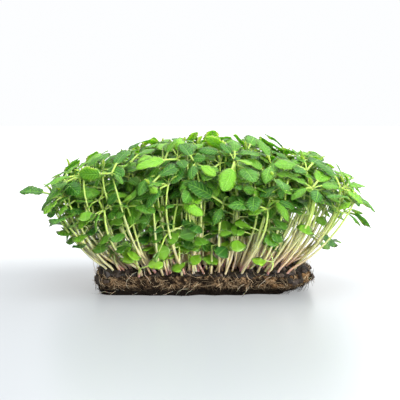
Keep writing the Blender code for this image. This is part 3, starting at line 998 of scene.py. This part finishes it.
def true_leaf_finish():
    """Quilted green with paler veins, darker or yellower from leaf to leaf, a painted highlight along the
    edge, and pale grey green below.
    """
    material, surface = shader("quilted_leaf", {
        "Roughness": 0.52,
        "Specular IOR Level": 0.28,
        "Subsurface Weight": 0.6,
        "Subsurface Scale": 1.6 * MM,
        "Subsurface Radius": (0.7, 1.0, 0.2),
    })
    tree = material.node_tree
    veins = vein_pattern(tree, 7.0)
    patches = mottle(tree, 180.0)
    shade = value_of(tree, "shade")
    green = blend(tree, calc(tree, "POWER", shade, 1.9), (0.020, 0.110, 0.008), (0.185, 0.460, 0.020))
    green = blend(tree, calc(tree, "MULTIPLY", patches, 0.45), green, (0.018, 0.095, 0.007))
    top = blend(tree, calc(tree, "MULTIPLY", veins, 0.45), green, (0.210, 0.460, 0.060))
    # Painted highlight: a lighter band along the leaf's edge.
    rim = smooth_step(tree, calc(tree, "ABSOLUTE", value_of(tree, "across")), 0.80, 0.98)
    top = blend(tree, calc(tree, "MULTIPLY", rim, 0.5), top, (0.260, 0.520, 0.090))
    below = blend(tree, calc(tree, "MULTIPLY", veins, 0.6), (0.120, 0.300, 0.035), (0.260, 0.460, 0.100))
    colour = blend(tree, value_of(tree, "under"), top, below)
    stalk = inverse(tree, smooth_step(tree, value_of(tree, "along"), -0.02, 0.08))
    colour = blend(tree, stalk, colour, (0.400, 0.570, 0.130))
    tree.links.new(colour, surface.inputs["Base Color"])
    between = inverse(tree, veins)
    grain = calc(tree, "MULTIPLY", mottle(tree, 1500.0), 0.5)
    add_bump(tree, surface, calc(tree, "ADD", between, grain), 0.9, 0.5 * MM)
    return material


def cotyledon_finish(name, dark, light):
    """Smooth green, from dark with a blue cast to yellow green from leaf to leaf, and paler below."""
    material, surface = shader(name, {
        "Roughness": 0.36,
        "Specular IOR Level": 0.45,
        "Subsurface Weight": 0.55,
        "Subsurface Scale": 1.6 * MM,
        "Subsurface Radius": (0.7, 1.0, 0.25),
    })
    tree = material.node_tree
    green = blend(tree, calc(tree, "POWER", value_of(tree, "shade"), 1.8), dark, light)
    green = blend(tree, calc(tree, "MULTIPLY", mottle(tree, 260.0), 0.3), green, dark)
    across = calc(tree, "ABSOLUTE", value_of(tree, "across"))
    rib = inverse(tree, smooth_step(tree, across, 0.02, 0.13))
    top = blend(tree, calc(tree, "MULTIPLY", rib, 0.3), green, (0.300, 0.540, 0.120))
    colour = blend(tree, value_of(tree, "under"), top, (0.180, 0.370, 0.090))
    stalk = inverse(tree, smooth_step(tree, value_of(tree, "along"), -0.02, 0.10))
    colour = blend(tree, stalk, colour, (0.430, 0.580, 0.170))
    tree.links.new(colour, surface.inputs["Base Color"])
    add_bump(tree, surface, mottle(tree, 1200.0), 0.25, 0.2 * MM)
    return material


def stem_finish():
    """Green above, cream below, and blushed pink and purple towards the root."""
    material, surface = shader("stem", {
        "Roughness": 0.35,
        "Subsurface Weight": 0.7,
        "Subsurface Scale": 2.0 * MM,
        "Subsurface Radius": (1.0, 0.95, 0.5),
    })
    tree = material.node_tree
    rise = value_of(tree, "rise")
    blush = value_of(tree, "blush")
    wander = calc(tree, "MULTIPLY", calc(tree, "SUBTRACT", mottle(tree, 90.0), 0.5), 0.3)
    height = calc(tree, "ADD", rise, wander)
    green = blend(tree, smooth_step(tree, height, 0.25, 0.95), (0.680, 0.670, 0.370), (0.400, 0.580, 0.110))
    pink_share = inverse(tree, smooth_step(tree, height, 0.04, 0.55))
    pink = blend(tree, smooth_step(tree, height, 0.0, 0.25), (0.430, 0.170, 0.200), (0.680, 0.460, 0.330))
    colour = blend(tree, calc(tree, "MULTIPLY", pink_share, blush), green, pink)
    tree.links.new(colour, surface.inputs["Base Color"])
    add_bump(tree, surface, mottle(tree, 700.0), 0.2, 0.2 * MM)
    return material


def felt_finish():
    """Coconut fibre: straw and brown tufts with painted shade in the hollows between, more orange at the
    right end, and darkened to nearly black towards the bottom as painted shade.
    """
    material, surface = shader("coir_felt", {"Roughness": 0.95, "Specular IOR Level": 0.08})
    tree = material.node_tree
    streaks = mottle(tree, 1100.0, 6.0)
    tufts = mottle(tree, 330.0, 4.0)
    # Painted shade: the hollows between tufts are painted nearly black, and the streaks run from near black,
    # painted shade between fibres, to straw.
    hollow = smooth_step(tree, tufts, 0.42, 0.60)
    straw = blend(tree, smooth_step(tree, streaks, 0.38, 0.66), (0.020, 0.011, 0.006), (0.270, 0.175, 0.095))
    to_right = smooth_step(tree, place_along(tree, "X"), 15 * MM, 55 * MM)
    straw = blend(tree, calc(tree, "MULTIPLY", to_right, 0.5), straw, (0.300, 0.155, 0.060))
    colour = blend(tree, hollow, (0.012, 0.008, 0.005), straw)
    # Painted shade: the lower wall, in the shade of its undercut, is darkened to nearly black.
    high = smooth_step(tree, place_along(tree, "Z"), 2.6 * MM, 5.8 * MM)
    out_of_painted_shade = calc(tree, "ADD", 0.04, calc(tree, "MULTIPLY", high, 0.96))
    colour = blend(tree, out_of_painted_shade, (0.006, 0.004, 0.003), colour)
    tree.links.new(colour, surface.inputs["Base Color"])
    add_bump(tree, surface, calc(tree, "ADD", streaks, tufts), 1.0, 0.8 * MM)
    return material


def fibre_finish():
    """Loose coconut fibres, from dark brown to straw, darkened to nearly black low on the wall as painted
    shade.
    """
    material, surface = shader("coir_fibre", {"Roughness": 0.7, "Specular IOR Level": 0.15})
    tree = material.node_tree
    shade = value_of(tree, "shade")
    colour = blend(tree, calc(tree, "POWER", shade, 2.6), (0.026, 0.013, 0.007), (0.820, 0.620, 0.380))
    # Painted shade: fibres low on the wall are darkened to nearly black, like the felt's lower wall.
    low = inverse(tree, smooth_step(tree, place_along(tree, "Z"), 2.0 * MM, 5.0 * MM))
    colour = blend(tree, calc(tree, "MULTIPLY", low, 0.97), colour, (0.008, 0.005, 0.003))
    tree.links.new(colour, surface.inputs["Base Color"])
    return material


def soil_finish(name, dark, light):
    """Moist potting mix, from nearly black to brown from crumb to crumb."""
    material, surface = shader(name, {"Roughness": 0.5, "Specular IOR Level": 0.3})
    tree = material.node_tree
    grains = mottle(tree, 800.0, 5.0)
    lighter = calc(tree, "ADD", calc(tree, "POWER", value_of(tree, "shade"), 2.5), 0.15)
    colour = blend(tree, calc(tree, "MULTIPLY", grains, lighter), dark, light)
    tree.links.new(colour, surface.inputs["Base Color"])
    add_bump(tree, surface, grains, 0.9, 0.5 * MM)
    return material


def root_finish():
    """White root threads, a little browner in places."""
    material, surface = shader("root", {
        "Roughness": 0.6,
        "Subsurface Weight": 0.3,
        "Subsurface Scale": 0.5 * MM,
    })
    tree = material.node_tree
    colour = blend(tree, mottle(tree, 150.0), (0.330, 0.240, 0.150), (0.800, 0.720, 0.560))
    tree.links.new(colour, surface.inputs["Base Color"])
    return material


def hull_finish():
    """Dark brown seed coat, mottled grey."""
    material, surface = shader("seed_hull", {"Roughness": 0.35})
    tree = material.node_tree
    spots = smooth_step(tree, mottle(tree, 1600.0, 2.0), 0.45, 0.62)
    colour = blend(tree, spots, (0.016, 0.010, 0.007), (0.085, 0.060, 0.042))
    tree.links.new(colour, surface.inputs["Base Color"])
    add_bump(tree, surface, spots, 0.3, 0.1 * MM)
    return material


def floor_finish():
    """A plain pale floor with a faint sheen, which a painted glow, seen only by the camera, brightens to
    white away from the near side; the weaker glow near the block is a painted shadow.
    """
    material, surface = shader("pale_floor", {
        "Roughness": 0.3,
        "Specular IOR Level": 0.4,
        "Base Color": (0.165, 0.185, 0.200, 1),
        "Emission Color": (1, 1, 1, 1),
    })
    tree = material.node_tree
    where = tree.nodes.new("ShaderNodeTexCoord").outputs["Object"]
    apart = add_node(tree, "ShaderNodeVectorMath", {0: where, 1: GLOW_CENTRE}, operation="DISTANCE")
    glow = smooth_step(tree, apart.outputs["Value"], *GLOW_RISES)
    # Painted light: the floor glows for the camera only, less near the block, which leaves a painted shadow
    # there.
    lit = calc(tree, "ADD", FLOOR_GLOW, calc(tree, "MULTIPLY", glow, FAR_GLOW))
    seen = tree.nodes.new("ShaderNodeLightPath").outputs["Is Camera Ray"]
    tree.links.new(calc(tree, "MULTIPLY", lit, seen), surface.inputs["Emission Strength"])
    return material


def dress(piece, slot, *nodes):
    """Rides a finished piece on the block and hides the solid parts that it stands for."""
    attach(piece, "root")
    if nodes:
        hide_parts(*nodes)
    return piece


def make_leaves(name, leaves, forms, pairs, finish, tree, tufts):
    """All the leaves of one kind as one piece."""
    draw = random.Random(name)
    shapes = []
    for k, form in enumerate(forms):
        for variant in range(LEAF_VARIANTS):
            label = f"{name}_shape_{k}_{variant}"
            shapes.append(fine_leaf(label, form, pairs, variant * 2.1 + k))
    places = [leaf.at for leaf in leaves]
    values = {
        "shape": [forms.index(leaf.form) * LEAF_VARIANTS + draw.randrange(LEAF_VARIANTS) for leaf in leaves],
        "turn": [tuple(leaf.turn.to_euler()) for leaf in leaves],
        "size": [leaf.size for leaf in leaves],
        "shade": [draw.random() for _ in leaves],
    }
    points = point_mesh(name, places, values)
    return dress(grown_of(name, shapes, points, tree, {"Finish": finish}), "sprout", *tufts)


def hull_shape():
    """An empty seed hull one unit long: a dark egg with a dented side."""
    bm = bmesh.new()
    bmesh.ops.create_icosphere(bm, subdivisions=2, radius=0.5)
    for vertex in bm.verts:
        dent = 0.35 * max(0.0, vertex.co.z * 2) ** 2
        vertex.co = Vector((vertex.co.x, vertex.co.y * 0.72, vertex.co.z * (0.72 - dent)))
    return bpy.data.objects.new("hull_shape", finished_mesh("hull_shape", bm, True))


def make_hulls(leaves, finish, tree):
    """Seed hulls that still cling to the tips of a few seed leaves."""
    draw = random.Random(RUNT_SEED)
    chosen = draw.sample(leaves, HULLS)
    places = [leaf.at + leaf.turn @ (leaf_point(leaf.form, 1.0, 0) * leaf.size) for leaf in chosen]
    values = {
        "shape": [0 for _ in chosen],
        "turn": [tuple(leaf.turn.to_euler()) for leaf in chosen],
        "size": [draw.uniform(*HULL_SIZE) for _ in chosen],
    }
    points = point_mesh("seed_hulls", places, values)
    return dress(grown_of("seed_hulls", [hull_shape()], points, tree, {"Finish": finish}), "sprout")


def make_stems(name, sprouts, finish, tree, tufts):
    """All the stems, thicker below the seed leaves and running on into the potting mix at the root."""
    draw = random.Random(name)
    places = []
    links = []
    values = {"thickness": [], "rise": [], "blush": []}
    for sprout in sprouts:
        blush = draw.random() ** 0.7
        girth = draw.uniform(0.85, 1.1)
        for i in range(STEM_POINTS + 1):
            t = i / STEM_POINTS
            place = bezier(sprout.path, t)
            if i == 0:
                place.z -= ROOT_DEPTH
            if i:
                links.append((len(places) - 1, len(places)))
            places.append(place)
            thickness = STEM_RADIUS + (STEM_TIP_RADIUS - STEM_RADIUS) * t
            values["thickness"].append(thickness * girth)
            values["rise"].append(t)
            values["blush"].append(blush)
    mesh = bpy.data.meshes.new(name)
    mesh.from_pydata(places, links, [])
    add_values(mesh, values)
    piece = grown(name, mesh, tree, {"Sides": STEM_SIDES, "Finish": finish})
    piece.data.shade_smooth()
    return dress(piece, "sprout", *tufts)


def mat_radius(angle, inset):
    """How far the mat's wall is from its centre here, drawn in by this share of its undercut."""
    to_right = max(0, math.cos(angle - DEEPEST_UNDERCUT)) ** 3
    return mat_reach(angle) - inset * (UNDERCUT + RIGHT_END_UNDERCUT * to_right)


def ring_shell(name, rings, caps):
    """A mesh of rings joined one to the next, its first and last ring filled where it is capped."""
    bm = bmesh.new()
    rows = [[bm.verts.new(place) for place in ring] for ring in rings]
    for lower, upper in zip(rows, rows[1:]):
        for i in range(len(lower)):
            j = (i + 1) % len(lower)
            bm.faces.new((lower[i], lower[j], upper[j], upper[i]))
    if caps:
        bm.faces.new(rows[0])
        bm.faces.new(rows[-1])
    bmesh.ops.recalc_face_normals(bm, faces=bm.faces)
    return finished_mesh(name, bm, True)


def matted(place, coarse, fine):
    """How far matted fibre stands out at a place: broad lumps and fine ones."""
    lumps = noise.noise(place / FELT_LUMP)
    tufts = noise.noise(place / FELT_TUFT + Vector((7, 0, 0)))
    return coarse * lumps + fine * tufts


def wall_rings():
    """The mat's wall from its underside to its torn rim, rough with matted fibre."""
    rings = []
    for height, inset, rough in FELT_WALL:
        ring = []
        for i in range(FELT_POINTS):
            angle = math.tau * i / FELT_POINTS
            reach = mat_radius(angle, inset)
            place = Vector((reach * math.cos(angle), reach * math.sin(angle), height * MAT_THICKNESS))
            out = place.xy.normalized() * matted(place, FELT_COARSE, FELT_FINE) * rough
            place.x += out.x
            place.y += out.y
            ring.append(place)
        rings.append(ring)
    return rings


def rim_rings():
    """The mat's torn rim, which stands a little above its top, and the top under the potting mix."""
    rings = []
    for setback, rise in RIM:
        ring = []
        for i in range(FELT_POINTS):
            angle = math.tau * i / FELT_POINTS
            reach = mat_reach(angle) - setback
            place = Vector((reach * math.cos(angle), reach * math.sin(angle), MAT_THICKNESS))
            place.z += rise * (1 + 1.4 * matted(place, 0.6, 0.5))
            ring.append(place)
        rings.append(ring)
    for share in (0.8, 0.5, 0.2):
        rings.append([Vector((place.x * share, place.y * share, MAT_THICKNESS)) for place in rings[-1]])
    return rings


def add_mesh(name, mesh, finish):
    mesh.materials.append(finish)
    obj = bpy.data.objects.new(name, mesh)
    bpy.context.scene.collection.objects.link(obj)
    return obj


def make_felt(finish):
    """The block of coir felt."""
    mesh = ring_shell("coir_felt", wall_rings() + rim_rings(), True)
    return dress(add_mesh("coir_felt", mesh, finish), "coir", "coir_mat")


def make_soil(finish):
    """The potting layer as a lumpy sheet with a ragged edge, lowest where the mat's rim holds it."""
    lowest = MAT_THICKNESS + SOIL_LIFT
    rings = []
    for number, share in enumerate(SOIL_RINGS):
        ring = []
        for i in range(SOIL_POINTS):
            angle = math.tau * i / SOIL_POINTS
            ragged = noise.noise(Vector((math.cos(angle), math.sin(angle), 0)) * 14) * SOIL_RAGGED
            reach = (mat_reach(angle) - SOIL_EDGE + ragged) * share
            place = Vector((reach * math.cos(angle), reach * math.sin(angle), lowest))
            if number:
                crumbled = matted(place, SOIL_COARSE, SOIL_FINE)
                rise = min(1.0, (1 - share) / SOIL_SHOULDER) ** 0.5
                place.z += (soil_height(place.x, place.y) - lowest + crumbled) * (0.25 + 0.75 * rise)
            ring.append(place)
        rings.append(ring)
    mesh = ring_shell("potting_mix", rings, True)
    return dress(add_mesh("potting_mix", mesh, finish), "soil", "potting_layer")


def crumb_shape(name, seed):
    """A rough lump one unit across."""
    bm = bmesh.new()
    bmesh.ops.create_icosphere(bm, subdivisions=1, radius=0.5)
    for vertex in bm.verts:
        vertex.co *= 1 + 0.5 * noise.noise(vertex.co * 2.5 + Vector((seed, 0, 0)))
    return bpy.data.objects.new(name, finished_mesh(name, bm, False))


def thread_shape(name, seed, thickness, bend):
    """A bent thread one unit long, lying in its own XY plane, three-sided and pointed at its ends."""
    draw = random.Random(seed)
    points = 7
    bm = bmesh.new()
    heading = draw.uniform(-0.6, 0.6)
    place = Vector((-0.5, 0, 0))
    rings = []
    for i in range(points):
        heading += draw.uniform(-bend, bend)
        lift = 0.25 * draw.uniform(-1, 1)
        place = place + Vector((math.cos(heading), math.sin(heading), lift)) / (points - 1)
        side = Vector((-math.sin(heading), math.cos(heading), 0))
        taper = thickness * (0.35 + 0.65 * math.sin(math.pi * (i + 0.5) / points))
        ring = []
        for k in range(3):
            angle = math.tau * k / 3
            offset = side * math.cos(angle) + Vector((0, 0, math.sin(angle)))
            ring.append(bm.verts.new(place + offset * taper))
        rings.append(ring)
    for lower, upper in zip(rings, rings[1:]):
        for k in range(3):
            j = (k + 1) % 3
            bm.faces.new((lower[k], lower[j], upper[j], upper[k]))
    bm.faces.new(rings[0])
    bm.faces.new(rings[-1])
    bmesh.ops.recalc_face_normals(bm, faces=bm.faces)
    return bpy.data.objects.new(name, finished_mesh(name, bm, False))


def ends_of(mesh):
    """The upper parts of a mesh near the block's two ends."""
    ends = mesh.copy()
    bm = bmesh.new()
    bm.from_mesh(ends)
    rest = [vertex for vertex in bm.verts if abs(vertex.co.x) < CLUMPS_FROM or vertex.co.z < CLUMPS_ABOVE]
    bmesh.ops.delete(bm, geom=rest, context="VERTS")
    bm.to_mesh(ends)
    bm.free()
    return ends


def strew(name, surface, shapes, finish, tree, slot, strewing):
    """Copies of small shapes strewn over a piece's surface, as one piece of their own."""
    values = {label.replace("_", " ").capitalize(): value for label, value in strewing._asdict().items()}
    return dress(grown_of(name, shapes, surface.copy(), tree, {"Finish": finish, **values}), slot)


def make_floor():
    """The plain floor that the block lies on."""
    r = FLOOR_REACH
    mesh = bpy.data.meshes.new("floor")
    mesh.from_pydata([(-r, -r, 0), (r, -r, 0), (r, r, 0), (-r, r, 0)], [], [(0, 1, 2, 3)])
    floor = add_mesh("floor", mesh, floor_finish())
    floor.location.z = -FLOOR_DROP


def make_light(name, at, target, size, power, colour):
    """A round soft light that shines towards its target."""
    lamp = bpy.data.lights.new(name, "AREA")
    lamp.shape = "DISK"
    lamp.size = size
    lamp.energy = power
    lamp.color = colour
    obj = bpy.data.objects.new(name, lamp)
    obj.location = at
    obj.rotation_euler = (Vector(target) - Vector(at)).to_track_quat("-Z", "Y").to_euler()
    bpy.context.scene.collection.objects.link(obj)


def make_world():
    """A white studio: full white where it is seen, and on the sprouts a softer light, mostly from above."""
    world = bpy.data.worlds.new("studio")
    world.use_nodes = True
    tree = world.node_tree
    sky = tree.nodes["Background"]
    sky.inputs["Color"].default_value = (0.98, 0.99, 1.0, 1)
    way = tree.nodes.new("ShaderNodeTexCoord").outputs["Generated"]
    height = add_node(tree, "ShaderNodeSeparateXYZ", {"Vector": way}).outputs["Z"]
    upper = calc(tree, "MULTIPLY", smooth_step(tree, height, 0.0, 0.8), OVERHEAD_LIGHT - LEVEL_LIGHT)
    light = calc(tree, "ADD", LEVEL_LIGHT, upper)
    seen = tree.nodes.new("ShaderNodeLightPath").outputs["Is Camera Ray"]
    more = calc(tree, "MULTIPLY", seen, calc(tree, "SUBTRACT", SEEN_WHITE, light))
    tree.links.new(calc(tree, "ADD", light, more), sky.inputs["Strength"])
    bpy.context.scene.world = world


def make_camera():
    """The camera, straight at the mat's long side, at the photograph's framing."""
    lens = bpy.data.cameras.new("camera")
    lens.lens = CAMERA_LENS
    lens.sensor_width = SENSOR_WIDTH
    camera = bpy.data.objects.new("camera", lens)
    aim = Vector(CAMERA_AIM)
    back = Vector((0, -math.cos(CAMERA_ELEVATION), math.sin(CAMERA_ELEVATION)))
    camera.location = aim + back * CAMERA_DISTANCE
    camera.rotation_euler = (aim - camera.location).to_track_quat("-Z", "Y").to_euler()
    bpy.context.scene.collection.objects.link(camera)
    bpy.context.scene.camera = camera


def leaves_of(sprouts, blunt):
    """The seed leaves of these sprouts where blunt, or else their true leaves."""
    return [leaf for sprout in sprouts for leaf in sprout.leaves if leaf.form.blunt == blunt]


def make_sprouts():
    """Grows every sprout, and makes the leaves, seed hulls and stems."""
    tufts = sorted(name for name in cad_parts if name.startswith("sprout_tuft"))
    places = tuft_places(random.Random(SEED))
    held = Clearing(CLEARANCE)
    firm = grow_sprouts(places, held)
    held = crown_clearing(held)
    between = [grow_reaching(held)] + grow_more(firm, held)
    sprouts = firm + between
    late = grow_runts(held) + [grow_bent(), grow_front_runt()]
    second = add_second_leaves(sprouts, held)
    young = add_young_leaves(sprouts)
    seed_leaves = leaves_of(sprouts, True)

    on_points = leaf_tree()
    quilted = true_leaf_finish()
    smooth = cotyledon_finish("seed_leaf", (0.024, 0.115, 0.015), (0.170, 0.420, 0.024))
    # Painted light: the late sprouts' seed leaves get a brighter copy of the seed-leaf finish, which lifts
    # them where they stand in the crown's shade.
    painted_light_seed_leaf = cotyledon_finish("late_seed_leaf", (0.130, 0.360, 0.020), (0.240, 0.520, 0.030))
    for name, leaves, forms, pairs, finish, nodes in (
        ("true_leaves", leaves_of(firm, False), TRUE_LEAF_FORMS, TOOTH_PAIRS, quilted, tufts),
        ("true_leaves_between", leaves_of(between, False), TRUE_LEAF_FORMS, TOOTH_PAIRS, quilted, ()),
        ("second_leaves", second, TRUE_LEAF_FORMS, YOUNG_TOOTH_PAIRS, quilted, ()),
        ("young_leaves", young, YOUNG_LEAF_FORMS, YOUNG_TOOTH_PAIRS, quilted, ()),
        ("seed_leaves", seed_leaves, COTYLEDON_FORMS, 0, smooth, tufts),
        ("late_seed_leaves", leaves_of(late, True), COTYLEDON_FORMS, 0, painted_light_seed_leaf, ()),
    ):
        make_leaves(name, leaves, forms, pairs, finish, on_points, nodes)
    make_hulls(seed_leaves, hull_finish(), on_points)
    make_stems("stems", sprouts + late, stem_finish(), stem_tree(), tufts)


def make_block():
    """The felt and the potting mix, and what lies loose on them."""
    strewn = scatter_tree()
    make_felt(felt_finish())
    wall = ring_shell("wall", wall_rings(), False)
    soil = make_soil(soil_finish("potting_mix", (0.007, 0.005, 0.004), (0.055, 0.040, 0.032)))
    crumb = soil_finish("crumb", (0.004, 0.003, 0.003), (0.150, 0.105, 0.080))
    for name, surface, label, first, strewing in (
        ("crumbs", soil.data, "crumb", 0, CRUMBS),
        ("clumps", ends_of(soil.data), "clump", 50, CLUMPS),
        ("spilt_clumps", ends_of(wall), "spilt", 90, SPILT_CLUMPS),
    ):
        shapes = [crumb_shape(f"{label}_{k}", first + 7 * k) for k in range(4)]
        strew(name, surface, shapes, crumb, strewn, "soil", strewing)
    fibre = fibre_finish()
    for name, label, count, first, thickness, bend, finish, strewing in (
        ("coir_fibres", "thread", 6, 0, 0.014, 0.5, fibre, FIBRES),
        ("stray_fibres", "stray", 4, 20, 0.010, 0.4, fibre, STRAY_FIBRES),
        ("root_threads", "root", 4, 40, 0.009, 0.7, root_finish(), ROOTS),
    ):
        shapes = [thread_shape(f"{label}_{k}", first + k, thickness, bend) for k in range(count)]
        strew(name, wall, shapes, finish, strewn, "coir", strewing)
    bpy.data.meshes.remove(wall)


def main():
    bpy.context.scene.view_settings.view_transform = "Standard"
    make_camera()
    make_world()
    make_floor()
    for lamp in LAMPS:
        make_light(*lamp)
    make_sprouts()
    make_block()


main()
